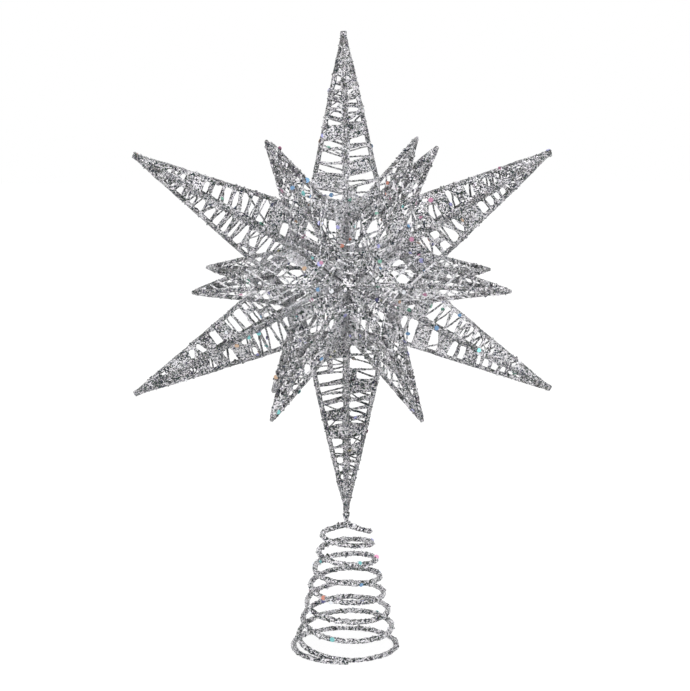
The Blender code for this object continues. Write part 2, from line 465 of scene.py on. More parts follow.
class SequinScatter(TreeMaker):
    """Tree that sets a round foil sequin on every point, facing the way the point says."""

    sizes = {"Radius": 1.2 * MM, "Thickness": 0.12 * MM, "Tilt": 0.3}
    sides = 8
    spread = (0.8, 1.1)

    def __init__(self) -> None:
        """Builds the tree: thin discs of uneven size."""
        super().__init__("sequin_scatter")
        inputs = {**self.sizes, "Seed": 1, "Finish": None}
        radius, thick, tilt, seed, material = self.takes(inputs)
        spots = self.add("GeometryNodeMeshToPoints", {"Mesh": self.entry.outputs[0]}).outputs[0]
        shape = {"Vertices": self.sides, "Radius": radius, "Depth": thick}
        disc = self.add("GeometryNodeMeshCylinder", shape).outputs[0]
        facing = self.add(
            "GeometryNodeInputNamedAttribute", {"Name": "facing"}, data_type="FLOAT_VECTOR"
        ).outputs[0]
        flat = self.add("FunctionNodeAlignRotationToVector", {"Vector": facing}, axis="Z")
        scale = self.chance(*self.spread, seed)
        discs = self.scattered(spots, disc, flat.outputs[0], tilt, scale, seed)
        self.close(discs, material)


@dataclass
class Trees:
    """The node trees that the sub-assemblies share."""

    strand: CoatedStrand = field(default_factory=CoatedStrand)
    flakes: GlitterFlakes = field(default_factory=GlitterFlakes)
    sequins: SequinScatter = field(default_factory=SequinScatter)


def new_material(name: str) -> tuple[Material, NodeMaker, Node]:
    """Starts a node material.

    Args:
        name: its name.

    Returns:
        The material, the maker of its nodes and its shader.
    """
    made = bpy.data.materials.new(name)
    made.use_nodes = True
    return made, NodeMaker(made.node_tree), made.node_tree.nodes["Principled BSDF"]


@dataclass(frozen=True)
class GlitterFinish:
    """Silver glitter coat: each cell a flake with its own tilt, gloss and grey, the grey partly
    tone, partly painted glint.
    """

    name: str
    tone_and_glint_greys: tuple[float, ...]
    stops: tuple[float, ...] = (0.0, 0.36, 0.51, 0.65, 1.0)
    cell: float = 0.50 * MM
    drawn_out: float = 2.4
    # The core, its reach and the lift below are painted light: near the star's core the base colour
    # is raised to cancel the shade in its hollows.
    core: tuple[float, float, float] | None = None
    core_reach: tuple[float, float] = (30.0 * MM, 66.0 * MM)
    painted_core_light: float = 0.17
    blueness: float = 1.03
    tint: float = 0.06
    patch: float = 0.8
    patch_size: float = 5.0 * MM
    tilt: float = 1.15
    metallic: float = 0.55
    gloss: tuple[float, float] = (0.18, 0.46)
    least_flake: float = 0.01

    def build(self) -> Material:
        """Builds the node material.

        Returns:
            The material, on Object coordinates and the flakes' own attribute.
        """
        made, maker, shader = new_material(self.name)
        place = maker.add("ShaderNodeTexCoord").outputs["Object"]
        drawn = maker.add(
            "ShaderNodeMapping", {"Vector": place, "Scale": (1.0, 1.0 / self.drawn_out, 1.0)}
        ).outputs[0]
        cells = maker.add("ShaderNodeTexVoronoi", {"Vector": drawn, "Scale": 1.0 / self.cell})
        colours = cells.outputs["Color"]
        parts = maker.add("ShaderNodeSeparateColor", {0: colours}).outputs
        flake = maker.add("ShaderNodeAttribute", attribute_name="flake").outputs["Fac"]
        loose = maker.maths("GREATER_THAN", flake, self.least_flake)
        shade = maker.add("ShaderNodeMix", {"Factor": loose, 2: parts[0], 3: flake}).outputs[0]
        # Painted glints: the ramp runs from near black to white, so each flake's grey carries the
        # glint or dark reflection of a silver flake as well as its tone.
        ramp = maker.add("ShaderNodeValToRGB", {0: self.with_patches_and_painted_light(maker, place, shade)})
        while len(ramp.color_ramp.elements) < len(self.stops):
            ramp.color_ramp.elements.new(0.5)
        for element, stop, grey in zip(ramp.color_ramp.elements, self.stops, self.tone_and_glint_greys):
            element.position = stop
            element.color = (grey, grey, grey * self.blueness, 1.0)
        mix = {"Factor": self.tint, 6: ramp.outputs[0], 7: colours}
        lean = maker.vectors("SCALE", maker.vectors("SUBTRACT", colours, MIDDLE_GREY), self.tilt)
        normal = maker.add("ShaderNodeNewGeometry").outputs["Normal"]
        look = {
            "Base Color": maker.add("ShaderNodeMix", mix, data_type="RGBA").outputs[2],
            "Metallic": self.metallic,
            "Roughness": maker.ranged(parts[1], *self.gloss),
            "Normal": maker.vectors("NORMALIZE", maker.vectors("ADD", normal, lean)),
        }
        maker.feed(shader, look)
        return made

    def with_patches_and_painted_light(self, maker: NodeMaker, place: Socket, shade: Socket) -> Socket:
        """Makes the coat uneven in patches, and paints light near the core to lift its shade.

        Args:
            maker: maker of the material's nodes.
            place: the coordinates.
            shade: the shade of each cell.

        Returns:
            The shade with the patches and the painted core light on it.
        """
        noise = {"Vector": place, "Scale": 1.0 / self.patch_size, "Detail": 1.0}
        cloud = maker.add("ShaderNodeTexNoise", noise).outputs[0]
        shade = maker.maths("ADD", shade, maker.ranged(cloud, -self.patch / 2, self.patch / 2))
        if self.core is None:
            return shade
        # Painted light: the shade is raised towards the core, where the valleys lie in shade.
        far = maker.vectors("DISTANCE", place, self.core)
        near = maker.ranged(far, self.painted_core_light, 0.0, *self.core_reach)
        return maker.maths("ADD", shade, near)


# Greys of each coat, near black to white: partly the glitter's tone, partly painted glints and dark
# reflections.
COAT_LOOKS = {
    Coat.WIRE: {
        "tone_and_glint_greys": (0.006, 0.04, 0.17, 0.52, 1.0),
        "stops": (0.0, 0.26, 0.50, 0.78, 1.0),
        "cell": 0.40 * MM,
        "drawn_out": 1.0,
    },
    Coat.WEB: {"tone_and_glint_greys": (0.015, 0.07, 0.40, 0.98, 1.0), "stops": (0.0, 0.34, 0.50, 0.68, 1.0)},
    Coat.PALE_WEB: {"tone_and_glint_greys": (0.02, 0.09, 0.46, 1.0, 1.0)},
    Coat.BRIGHT_WEB: {
        "tone_and_glint_greys": (0.01, 0.06, 0.50, 1.0, 1.0),
        "stops": (0.0, 0.20, 0.33, 0.46, 1.0),
        "cell": 0.62 * MM,
    },
    Coat.GREY_WEB: {"tone_and_glint_greys": (0.008, 0.045, 0.26, 0.84, 1.0)},
    Coat.DARK_WEB: {"tone_and_glint_greys": (0.002, 0.02, 0.11, 0.52, 1.0)},
    Coat.FINE_WEB: {
        "tone_and_glint_greys": (0.002, 0.022, 0.28, 1.0, 1.0),
        "stops": (0.0, 0.37, 0.48, 0.59, 1.0),
        "cell": 0.68 * MM,
        "drawn_out": 4.0,
    },
    Coat.SPRING: {"tone_and_glint_greys": (0.002, 0.018, 0.24, 0.96, 1.0), "drawn_out": 1.0},
}


def glitter_finishes(core: Vector) -> dict[Coat, Material]:
    """Builds the finish of every coat.

    Args:
        core: middle of the star, centre of the painted core light, which only the spring's coat
            does without.

    Returns:
        Coat to material.
    """
    made = {}
    for coat, look in COAT_LOOKS.items():
        near = None if coat is Coat.SPRING else tuple(core)
        made[coat] = GlitterFinish(coat.value, core=near, **look).build()
    return made


@dataclass(frozen=True)
class SequinFinish:
    """Bright foil whose colour each sequin carries itself."""

    name: str = "sequin_foil"
    metallic: float = 0.75
    gloss: tuple[float, float] = (0.132, 0.352)
    crinkle_scale: float = 1400.0
    crinkle_strength: float = 0.25
    crinkle_depth: float = 0.05 * MM

    def build(self) -> Material:
        """Builds the node material.

        Returns:
            The material, with a fine crinkle on Object coordinates.
        """
        made, maker, shader = new_material(self.name)
        place = maker.add("ShaderNodeTexCoord").outputs["Object"]
        noise = {"Vector": place, "Scale": self.crinkle_scale}
        crinkle = maker.add("ShaderNodeTexNoise", noise).outputs[0]
        depth = {"Strength": self.crinkle_strength, "Distance": self.crinkle_depth}
        look = {
            "Base Color": maker.add("ShaderNodeAttribute", attribute_name="foil").outputs["Color"],
            "Metallic": self.metallic,
            "Roughness": maker.ranged(crinkle, *self.gloss),
            "Normal": maker.add("ShaderNodeBump", {**depth, "Height": crinkle}).outputs[0],
        }
        maker.feed(shader, look)
        return made


@dataclass(frozen=True)
class StarSizes:
    """Sizes of the star, the same as the solids'; pairs are for small and large spikes."""

    large_reach: float = 115.0 * MM
    small_reach: float = 72.0 * MM
    small_forward: float = 48.0 * MM
    valley_radius: float = 36.0 * MM
    shoulder_radius: float = 28.0 * MM
    hub_depth: float = 44.0 * MM
    wire_radius: float = 1.1 * MM
    frame_gap: float = 0.3 * MM
    ring_corner: float = 2.2 * MM
    tip_wrap: float = 0.35
    tip_lengths: tuple[float, float] = (7.0 * MM, 8.5 * MM)


@dataclass(frozen=True)
class SpringSizes:
    """Sizes of the spring and its solder neck, the same as the solids'."""

    wire_radius: float = 1.25 * MM
    foot_radius: float = 26.9 * MM
    top_radius: float = 11.5 * MM
    pitch: float = 8.9 * MM
    turns: float = 7.25
    back_lift: float = 6.0 * MM
    crest_sweep: float = 2.5 * MM
    crest_lift: float = 3.0 * MM
    tail_lift: float = 1.6 * MM
    flat_depth: float = 0.5 * MM
    turn_gap: float = 0.6 * MM
    neck_radius: float = 1.4 * MM
    neck_length: float = 6.0 * MM
    neck_gap: float = 0.3 * MM

    def foot(self) -> float:
        """Height of the wire's centre line in the foot turn."""
        return self.wire_radius - self.flat_depth

    def crest(self) -> float:
        """Height of the wire's centre line at the crest."""
        rise = self.pitch * (self.turns - 1.0)
        return self.foot() + rise + self.crest_lift + self.tail_lift / 2

    def neck_foot(self) -> float:
        """Height of the neck's lower end."""
        return self.crest() + self.wire_radius + self.neck_gap

    def star_foot(self) -> float:
        """Height of the star's lowest tip."""
        return self.neck_foot() + self.neck_length + self.neck_gap


EDGE_WIRE = StrandLook(0.98 * MM, 0.95 * MM, 8, 0.6 * MM, 0.5 * MM)
THREAD = StrandLook(0.42 * MM, 1.2 * MM, 5, 1.1 * MM, 0.35 * MM)
KNOT_THREAD = StrandLook(0.85 * MM, 0.7 * MM, 7, 1.2 * MM, 0.9 * MM)
COIL_WIRE = StrandLook(0.88 * SpringSizes.wire_radius, 0.8 * MM, 10, 0.8 * MM, 1.7 * MM)
SOLDER_NECK = StrandLook(SpringSizes.neck_radius, 0.7 * MM, 10, 0.2 * MM, 0.7 * MM)

EDGE_FLAKES = FlakeLook(0.25 * MM, 6.0e5, 0.5)
WEB_FLAKES = FlakeLook(0.26 * MM, 5.4e5, 0.8, core_extra=0.9, core_growth=0.35, core_tilt=1.1)
KNOT_FLAKES = FlakeLook(0.26 * MM, 5.0e5, 0.8)
COIL_FLAKES = FlakeLook(0.32 * MM, 5.5e5, 1.1)
NECK_FLAKES = FlakeLook(0.26 * MM, 6.0e5, 0.8)
CLUMPS = FlakeLook(0.9 * MM, 2.5e4, 1.4)


def polyline_mesh(lines: list[Line]) -> Mesh:
    """Makes a mesh of bare edges with a thickness on every point.

    Args:
        lines: the lines.

    Returns:
        The mesh.
    """
    edges, thick, first = [], [], 0
    for line in lines:
        count = len(line.points)
        edges.extend((first + i, first + i + 1) for i in range(count - 1))
        if line.closed:
            edges.append((first + count - 1, first))
        thick.append(np.broadcast_to(line.thick, count))
        first += count
    mesh = bpy.data.meshes.new("lines")
    mesh.from_pydata(np.concatenate([line.points for line in lines]).tolist(), edges, [])
    mark = mesh.attributes.new("thick", "FLOAT", "POINT")
    mark.data.foreach_set("value", np.concatenate(thick).astype(np.float32))
    return mesh


def merged(meshes: list[Mesh]) -> Mesh:
    """Puts several meshes into one and removes them.

    Args:
        meshes: the meshes to put together.

    Returns:
        The new mesh.
    """
    shape = bmesh.new()
    for mesh in meshes:
        shape.from_mesh(mesh)
        bpy.data.meshes.remove(mesh)
    made = bpy.data.meshes.new("merged")
    shape.to_mesh(made)
    shape.free()
    return made


def points_of(mesh: Mesh) -> np.ndarray:
    """Reads where the points of a mesh are.

    Args:
        mesh: the mesh.

    Returns:
        One row for each point.
    """
    spots = np.empty(len(mesh.vertices) * 3)
    mesh.vertices.foreach_get("co", spots)
    return spots.reshape(-1, 3)


def shown(name: str, mesh: Mesh) -> Piece:
    """Puts a finished mesh into the scene.

    Args:
        name: name of the piece.
        mesh: its mesh, already in place.

    Returns:
        The piece.
    """
    mesh.name = name
    piece = bpy.data.objects.new(name, mesh)
    bpy.context.scene.collection.objects.link(piece)
    LOG.info("%s: %d faces", name, len(mesh.polygons))
    return piece


@dataclass(frozen=True)
class FilmPattern:
    """How the glued thread fills a spike.

    It sets the loops, the width of the bars, the share of gaps that are closed, the loose strands
    on a face that looks out and on one turned to the core, and the width of links and holes.
    """

    loops: int
    bar: tuple[float, float]
    closed: float
    strands: int
    turned_strands: int
    link: tuple[float, float] = (0.7 * MM, 1.6 * MM)
    hole_width: float = 9.0 * MM
    base_bar: float = 0.4
    spacing: float = 0.95 * MM
    thickness: float = 0.4 * MM


LARGE_SHOWN = FilmPattern(17, (0.45 * MM, 1.1 * MM), 0.12, 6, 2, hole_width=15.0 * MM)
LARGE_DENSE = FilmPattern(17, (0.55 * MM, 1.25 * MM), 0.24, 7, 2, hole_width=13.0 * MM)
FINE_LINK = (0.2 * MM, 0.5 * MM)
SMALL_SHOWN = FilmPattern(
    9, (0.2 * MM, 0.55 * MM), 0.03, 2, 1, FINE_LINK, base_bar=0.1, spacing=0.8 * MM
)
SMALL_OPEN = FilmPattern(9, (0.2 * MM, 0.4 * MM), 0.0, 1, 1, FINE_LINK, 20.0 * MM, base_bar=0.1)


@dataclass(frozen=True)
class SpikePlan:
    """What sets a spike apart: coat, film, millimetres its tip leans right and up, and bulge."""

    web: Coat
    film: FilmPattern
    lean: tuple[float, float] = (0.0, 0.0)
    splay: float = 0.0


SPIKE_PLANS = {
    (SpikeKind.LARGE, 12): SpikePlan(Coat.WEB, LARGE_SHOWN, (-0.8, -0.3), 0.12),
    (SpikeKind.LARGE, 2): SpikePlan(Coat.GREY_WEB, LARGE_DENSE, (-2.5, 0.9), 0.16),
    (SpikeKind.LARGE, 4): SpikePlan(Coat.PALE_WEB, LARGE_SHOWN, (-0.8, 2.2)),
    (SpikeKind.LARGE, 6): SpikePlan(Coat.DARK_WEB, LARGE_SHOWN, splay=0.19),
    (SpikeKind.LARGE, 8): SpikePlan(Coat.GREY_WEB, LARGE_DENSE, (-2.0, 1.1), 0.10),
    (SpikeKind.LARGE, 10): SpikePlan(Coat.GREY_WEB, LARGE_SHOWN, (-0.3, 0.0), 0.14),
    (SpikeKind.FRONT, 1): SpikePlan(Coat.FINE_WEB, SMALL_SHOWN, (3.2, -0.8)),
    (SpikeKind.FRONT, 3): SpikePlan(Coat.BRIGHT_WEB, SMALL_OPEN, (0.7, -2.8)),
    (SpikeKind.FRONT, 5): SpikePlan(Coat.FINE_WEB, SMALL_SHOWN, (-2.8, 0.7)),
    (SpikeKind.FRONT, 7): SpikePlan(Coat.FINE_WEB, SMALL_SHOWN, (0.7, 1.3)),
    (SpikeKind.FRONT, 9): SpikePlan(Coat.BRIGHT_WEB, SMALL_OPEN, (2.1, -2.6)),
    (SpikeKind.FRONT, 11): SpikePlan(Coat.FINE_WEB, SMALL_OPEN, (-0.4, 2.1)),
    (SpikeKind.BACK, 1): SpikePlan(Coat.BRIGHT_WEB, SMALL_OPEN, (1.3, 2.6)),
    (SpikeKind.BACK, 3): SpikePlan(Coat.BRIGHT_WEB, SMALL_OPEN, (2.7, -1.6)),
    (SpikeKind.BACK, 5): SpikePlan(Coat.FINE_WEB, SMALL_OPEN),
    (SpikeKind.BACK, 7): SpikePlan(Coat.FINE_WEB, SMALL_OPEN, (-0.2, -1.6)),
    (SpikeKind.BACK, 9): SpikePlan(Coat.FINE_WEB, SMALL_OPEN, (3.0, 0.0)),
    (SpikeKind.BACK, 11): SpikePlan(Coat.FINE_WEB, SMALL_OPEN),
}


@dataclass
class FilmSheet:
    """Thin glued film on one face of a spike, with rounded holes between the thread's bars."""

    first: Vector
    second: Vector
    tip: Vector
    outward: np.ndarray
    pattern: FilmPattern
    rng: np.random.Generator
    rise_limits: tuple[float, float] = (-0.2, 0.995)
    margin: float = 0.25 * MM
    end: float = 0.97
    wave: float = 0.5 * MM
    full_bar: float = 0.4
    bar_taper: tuple[float, float] = (1.2, 0.75)
    least_hole: float = 1.8 * MM
    hole_filled: float = 0.5
    hole_spread: tuple[float, float] = (0.6, 1.5)
    cut_range: tuple[float, float] = (0.12, 0.88)
    round_off: float = 0.55 * MM
    steepest: float = 60.0
    row_height: float = 0.866
    jitter: float = 0.12
    least_cut: float = 0.06
    ripple: float = 0.12 * MM
    across: np.ndarray = field(init=False)
    up: np.ndarray = field(init=False)
    base: float = field(init=False)
    peak: np.ndarray = field(init=False)

    def __post_init__(self) -> None:
        """Sets the face's own axes."""
        self.across = np.array((self.second - self.first).normalized())
        self.up = np.cross(self.outward, self.across)
        reach = np.array(self.tip - self.first)
        if reach @ self.up < 0:
            self.up = -self.up
        self.base = (self.second - self.first).length
        self.peak = np.array((reach @ self.across, reach @ self.up))

    def cover(
        self, spots: np.ndarray, left: np.ndarray, right: np.ndarray, top: float
    ) -> np.ndarray:
        """How far inside the film each point lies; negative in a hole or off the face.

        Args:
            spots: points as across and up.
            left: shares at which the bars leave the first edge wire.
            right: shares at which they reach the second.
            top: share at which the holes stop.

        Returns:
            Distance to the film's border, in metres.
        """
        rng, pattern = self.rng, self.pattern
        rise = np.clip(spots[:, 1] / self.peak[1], *self.rise_limits)
        width = self.base * (1.0 - rise)
        side = (spots[:, 0] - rise * self.peak[0]) / width
        film = np.minimum(side, 1.0 - side) * width + self.margin
        film = np.minimum(film, spots[:, 1] + self.margin)
        film = np.minimum(film, (self.end - rise) * self.peak[1])
        bars = rng.uniform(*pattern.bar, len(left))
        wave = rng.uniform(-self.wave, self.wave, (len(left), 2))
        bend = np.stack([np.sin(np.pi * side), np.sin(2 * np.pi * side)])
        for j in range(len(left) - 1):
            middle = (left[j] + right[j] + left[j + 1] + right[j + 1]) / 4
            span = self.base * (1.0 - middle)
            if middle > top or rng.random() < pattern.closed:
                continue
            grown = min(1.0, max(0.0, middle / self.full_bar))
            slim = pattern.base_bar + (1.0 - pattern.base_bar) * grown
            slim *= self.bar_taper[0] - self.bar_taper[1] * middle
            low = (rise - left[j] * (1 - side) - right[j] * side) * self.peak[1] - wave[j] @ bend
            high = (left[j + 1] * (1 - side) + right[j + 1] * side - rise) * self.peak[1]
            high += wave[j + 1] @ bend
            count = max(1, round(span / pattern.hole_width * rng.uniform(*self.hole_spread)))
            cuts = np.sort(rng.uniform(*self.cut_range, count - 1))
            ends = np.concatenate([[0.0], cuts, [1.0]])
            filled = self.hole_filled * pattern.closed
            for start, stop in zip(ends[:-1], ends[1:]):
                if (stop - start) * span < self.least_hole or rng.random() < filled:
                    continue
                gaps = rng.uniform(*pattern.link, 2)
                sides = [low - slim * bars[j], high - slim * bars[j + 1]]
                sides += [(side - start) * width - gaps[0], (stop - side) * width - gaps[1]]
                near = -np.stack(sides) / self.round_off
                near = np.exp(np.clip(near, -self.steepest, self.steepest)).sum(axis=0)
                film = np.minimum(film, self.round_off * np.log(near))
        return film

    def mesh(self, left: np.ndarray, right: np.ndarray, top: float, lift: float) -> Net:
        """Builds the film as a closed thin sheet.

        Args:
            left: shares at which the bars leave the first edge wire.
            right: shares at which they reach the second.
            top: share at which the holes stop.
            lift: how far the film lies outside the edge wires' centre lines.

        Returns:
            Points in the spike's axes and faces.
        """
        step = self.pattern.spacing
        tall = step * self.row_height
        rows = int(self.peak[1] / tall) + 3
        low = min(0.0, self.peak[0]) - 2 * step
        high = max(self.base, self.peak[0]) + 2 * step
        columns = int((high - low) / step) + 2
        row, column = np.meshgrid(np.arange(rows), np.arange(columns), indexing="ij")
        spots = np.stack([low + (column + 0.5 * (row % 2)) * step, (row - 1) * tall], axis=-1)
        spots = spots.reshape(-1, 2)
        spots += self.rng.uniform(-self.jitter, self.jitter, spots.shape) * step
        number = (row * columns + column)[:-1, :-1, None]
        odd = (row % 2 == 1)[:-1, :-1, None]
        corner = np.array((0, 1, columns, columns + 1))
        lower = np.where(odd, number + corner[[0, 1, 3]], number + corner[[0, 1, 2]])
        upper = np.where(odd, number + corner[[0, 3, 2]], number + corner[[1, 3, 2]])
        triangles = np.concatenate([lower.reshape(-1, 3), upper.reshape(-1, 3)])
        inside = self.cover(spots, left, right, top)
        least = self.least_cut * step
        inside = np.where(np.abs(inside) < least, np.copysign(least, inside), inside)
        return self.thickened(*self.trimmed(spots, triangles, inside), lift)

    @staticmethod
    def trimmed(spots: np.ndarray, triangles: np.ndarray, inside: np.ndarray) -> Net:
        """Cuts a triangle net along the border of the film.

        Args:
            spots: points of the net.
            triangles: its triangles.
            inside: distance of each point to the border, positive on the film.

        Returns:
            The points and triangles that are left.
        """
        on = inside > 0
        count = on[triangles].sum(axis=1)
        kept = [triangles[count == 3]]
        pairs = []
        for number, wanted in ((1, True), (2, False)):
            some = triangles[count == number]
            turn = np.argmax(on[some] == wanted, axis=1)
            some = np.stack([some[np.arange(len(some)), (turn + k) % 3] for k in range(3)], axis=1)
            pairs.append(some)
        ends = np.concatenate([p[:, [0, 1]] for p in pairs] + [p[:, [0, 2]] for p in pairs])
        keys, index = np.unique(np.sort(ends, axis=1), axis=0, return_inverse=True)
        index = index.reshape(-1) + len(spots)
        share = inside[keys[:, 0]] / (inside[keys[:, 0]] - inside[keys[:, 1]])
        new = spots[keys[:, 0]] * (1 - share[:, None]) + spots[keys[:, 1]] * share[:, None]
        ones, twos = pairs
        cut = np.split(index, np.cumsum([len(ones), len(twos), len(ones)]))
        kept.append(np.stack([ones[:, 0], cut[0], cut[2]], axis=1))
        kept.append(np.stack([cut[1], twos[:, 1], twos[:, 2]], axis=1))
        kept.append(np.stack([cut[1], twos[:, 2], cut[3]], axis=1))
        used, index = np.unique(np.concatenate(kept), return_inverse=True)
        return np.concatenate([spots, new])[used], index.reshape(-1, 3)

    def thickened(self, spots: np.ndarray, triangles: np.ndarray, lift: float) -> Net:
        """Gives the net its place, a light ripple and its thickness.

        Args:
            spots: points as across and up.
            triangles: triangles of the net, counter-clockwise in those axes.
            lift: how far the film lies outside the edge wires' centre lines.

        Returns:
            Points in the spike's axes and triangles of the closed sheet.
        """
        phase = self.rng.uniform(0, 2 * HALF_TURN, 4)
        x, y = spots[:, 0] / MM, spots[:, 1] / MM
        # Crossing waves, 2 to 7 mm long, so that no two stretches of film shine alike.
        ripple = np.sin(0.9 * x + phase[0]) * np.sin(1.1 * y + phase[1])
        ripple += 0.6 * np.sin(2.3 * x - 1.7 * y + phase[2]) + 0.4 * np.sin(3.1 * y + phase[3])
        level = lift + self.ripple * ripple
        flat = np.array(self.first) + spots[:, :1] * self.across + spots[:, 1:] * self.up
        half = self.pattern.thickness / 2
        upper = flat + (level + half)[:, None] * self.outward
        lower = flat + (level - half)[:, None] * self.outward
        count = len(spots)
        if np.cross(self.across, self.up) @ self.outward < 0:
            triangles = triangles[:, ::-1]
        sides = np.concatenate([triangles[:, [0, 1]], triangles[:, [1, 2]], triangles[:, [2, 0]]])
        keys, times = np.unique(np.sort(sides, axis=1), axis=0, return_counts=True)
        border = {tuple(k) for k in keys[times == 1]}
        rim = np.array([s for s in sides.tolist() if (min(s), max(s)) in border]).reshape(-1, 2)
        start, stop = rim[:, 0], rim[:, 1]
        walls = [np.stack([stop, start, start + count], axis=1)]
        walls.append(np.stack([stop, start + count, stop + count], axis=1))
        faces = np.concatenate([triangles, triangles[:, ::-1] + count, *walls])
        return np.concatenate([upper, lower]), faces


@dataclass
class Spike:
    """One wire pyramid of the star: its frame and its web of glued thread.

    The two values of blunt and of crowding are for small and for large spikes. The wires of the
    spike at the smooth hour, which stands on the neck, carry no clumps.
    """

    kind: SpikeKind
    hour: int
    seed: int
    centre: Vector
    sizes: StarSizes
    plan: SpikePlan
    film_lift: float = 0.6 * MM
    blunt: tuple[float, float] = (0.95 * MM, 1.6 * MM)
    tip_points: int = 6
    tip_rounding: tuple[float, float] = (0.85, 0.8)
    tip_overlap: float = 1.15
    wire_into_tip: float = 0.3
    bulge_start: float = 0.2
    bulge_end: float = 0.97
    bulge_fade: float = 0.12
    lean_power: float = 1.4
    lean_limit: float = 1.1
    first_bend: float = 0.02
    winding_end: float = 0.8
    unevenness: float = 0.55
    crowding: tuple[float, float] = (0.42, 0.25)
    thread_gap: float = 0.02 * MM
    thread_width: tuple[float, float] = (0.8, 1.35)
    strand_width: tuple[float, float] = (0.6, 1.0)
    strand_start: tuple[float, float] = (0.02, 0.86)
    strand_stop: tuple[float, float] = (0.01, 0.95)
    strand_lean: float = 0.07
    strand_stand: float = 0.9
    strand_sag_mm: tuple[float, float] = (-0.2, 0.45)
    wire_noise: float = 0.013
    thread_noise: float = 0.017
    web_seed: int = 50
    clump_seed: int = 90
    smooth_hour: int = 6
    large: bool = field(init=False)
    azimuth: float = field(init=False)
    tip_length: float = field(init=False)
    tip: Vector = field(init=False)
    corners: list[Vector] = field(init=False)
    middle: Vector = field(init=False)
    faces: list[Vector] = field(init=False, default_factory=list)
    place: Matrix = field(init=False)

    def __post_init__(self) -> None:
        """Works out the inset corners, the face normals and the spike's place."""
        s = self.sizes
        self.large = self.kind is SpikeKind.LARGE
        # Degrees anticlockwise from three o'clock, thirty to the hour, within half a turn.
        self.azimuth = 180 - (90 + 30 * self.hour) % 360
        self.tip_length = s.tip_lengths[self.large]
        cos30, sin30 = math.cos(math.radians(30)), math.sin(math.radians(30))
        depth = s.hub_depth * (1.0 - s.shoulder_radius * cos30 / s.valley_radius)
        if self.large:
            across, up = s.valley_radius * cos30, s.valley_radius * sin30
            shoulder = s.shoulder_radius
            outer = [(across, 0.0, up), (shoulder, -depth, 0.0)]
            outer += [(across, 0.0, -up), (shoulder, depth, 0.0)]
            self.tip = Vector((s.large_reach, 0.0, 0.0))
        else:
            across, up = s.shoulder_radius * cos30, s.shoulder_radius * sin30
            outer = [(s.valley_radius, 0.0, 0.0), (across, -depth, up)]
            outer += [(0.0, -s.hub_depth, 0.0), (across, -depth, -up)]
            self.tip = Vector((s.small_reach, -s.small_forward, 0.0))
        self.corners = self.inset([Vector(corner) for corner in outer])
        self.middle = sum(self.corners, Vector()) / 4
        for i, corner in enumerate(self.corners):
            face = (self.corners[(i + 1) % 4] - corner).cross(self.tip - corner).normalized()
            self.faces.append(face if face.dot(corner - self.middle) > 0 else -face)
        roll = math.pi if self.kind is SpikeKind.BACK else 0.0
        turn = Euler((roll, -math.radians(self.azimuth), 0.0)).to_matrix().to_4x4()
        self.place = Matrix.Translation(self.centre) @ turn

    def inset(self, outer: list[Vector]) -> list[Vector]:
        """Moves the base corners in, so that neighbouring wires lie side by side.

        Args:
            outer: corners on the planes that the spikes share.

        Returns:
            The wire's own corners.
        """
        gap = self.sizes.wire_radius + self.sizes.frame_gap / 2
        middle = sum(outer, Vector()) / 4
        base = (outer[1] - outer[0]).cross(outer[2] - outer[0]).normalized()
        walls = []
        for i, corner in enumerate(outer):
            wall = corner.cross(outer[(i + 1) % 4]).normalized()
            walls.append(wall if wall.dot(middle) > 0 else -wall)
        moved = []
        for i, corner in enumerate(outer):
            rows = Matrix((walls[i - 1], walls[i], base))
            moved.append(rows.inverted() @ Vector((gap, gap, base.dot(corner))))
        return moved

    def looks_out(self, i: int) -> bool:
        """Tells whether face i looks away from the core and so carries film."""
        look = (self.place.to_3x3() @ self.faces[i]).y
        return -look < 0.0 if self.kind is SpikeKind.BACK else look < 0.0

    def bowed(self, mesh: Mesh) -> None:
        """Puts a mesh in its place, bulges its sides and leans its tip as hand work does.

        Args:
            mesh: mesh in the spike's own axes.
        """
        mesh.transform(self.place)
        foot = self.place @ self.middle
        reach = np.array((self.place @ self.tip) - foot)
        spots = points_of(mesh)
        out = spots - np.array(foot)
        share = out @ reach / (reach @ reach)
        out -= share[:, None] * reach
        swell = np.clip(share / self.bulge_start, 0.0, 1.0)
        swell *= np.clip((self.bulge_end - share) / self.bulge_fade, 0.0, 1.0)
        spots += self.plan.splay * swell[:, None] * out
        right, up = self.plan.lean
        bow = np.array(Vector((right * MM, 0.0, up * MM)))
        spots += np.clip(share, 0.0, self.lean_limit)[:, None] ** self.lean_power * bow
        mesh.vertices.foreach_set("co", spots.reshape(-1))

    def frame_lines(self) -> list[Line]:
        """Draws the base ring, the four edge wires and the wrapped tip.

        Returns:
            Lines in the spike's own axes.
        """
        ring = []
        for i, corner in enumerate(self.corners):
            for other in (self.corners[i - 1], self.corners[(i + 1) % 4]):
                toward = (other - corner).normalized()
                ring.append(np.array(corner + toward * self.sizes.ring_corner))
        lines = [Line(np.array(ring), closed=True)]
        length = self.tip_length
        edges = [(corner - self.tip).normalized() for corner in self.corners]
        inward = sum(edges, Vector()).normalized()
        for corner, along in zip(self.corners, edges):
            end = self.tip + along * (self.wire_into_tip * length)
            lines.append(Line(np.array([corner, end])))
        spread = min(length * math.sqrt(1.0 / e.dot(inward) ** 2 - 1.0) for e in edges)
        end = self.blunt[self.large] / EDGE_WIRE.radius
        base = spread / EDGE_WIRE.radius + self.sizes.tip_wrap
        spine = np.linspace(0.0, 1.0, self.tip_points)
        swell = end + (base - end) * spine
        swell[[0, -1]] *= self.tip_rounding
        points = [self.tip + inward * (length * self.tip_overlap * s) for s in spine]
        lines.append(Line(np.array(points), swell))
        return lines

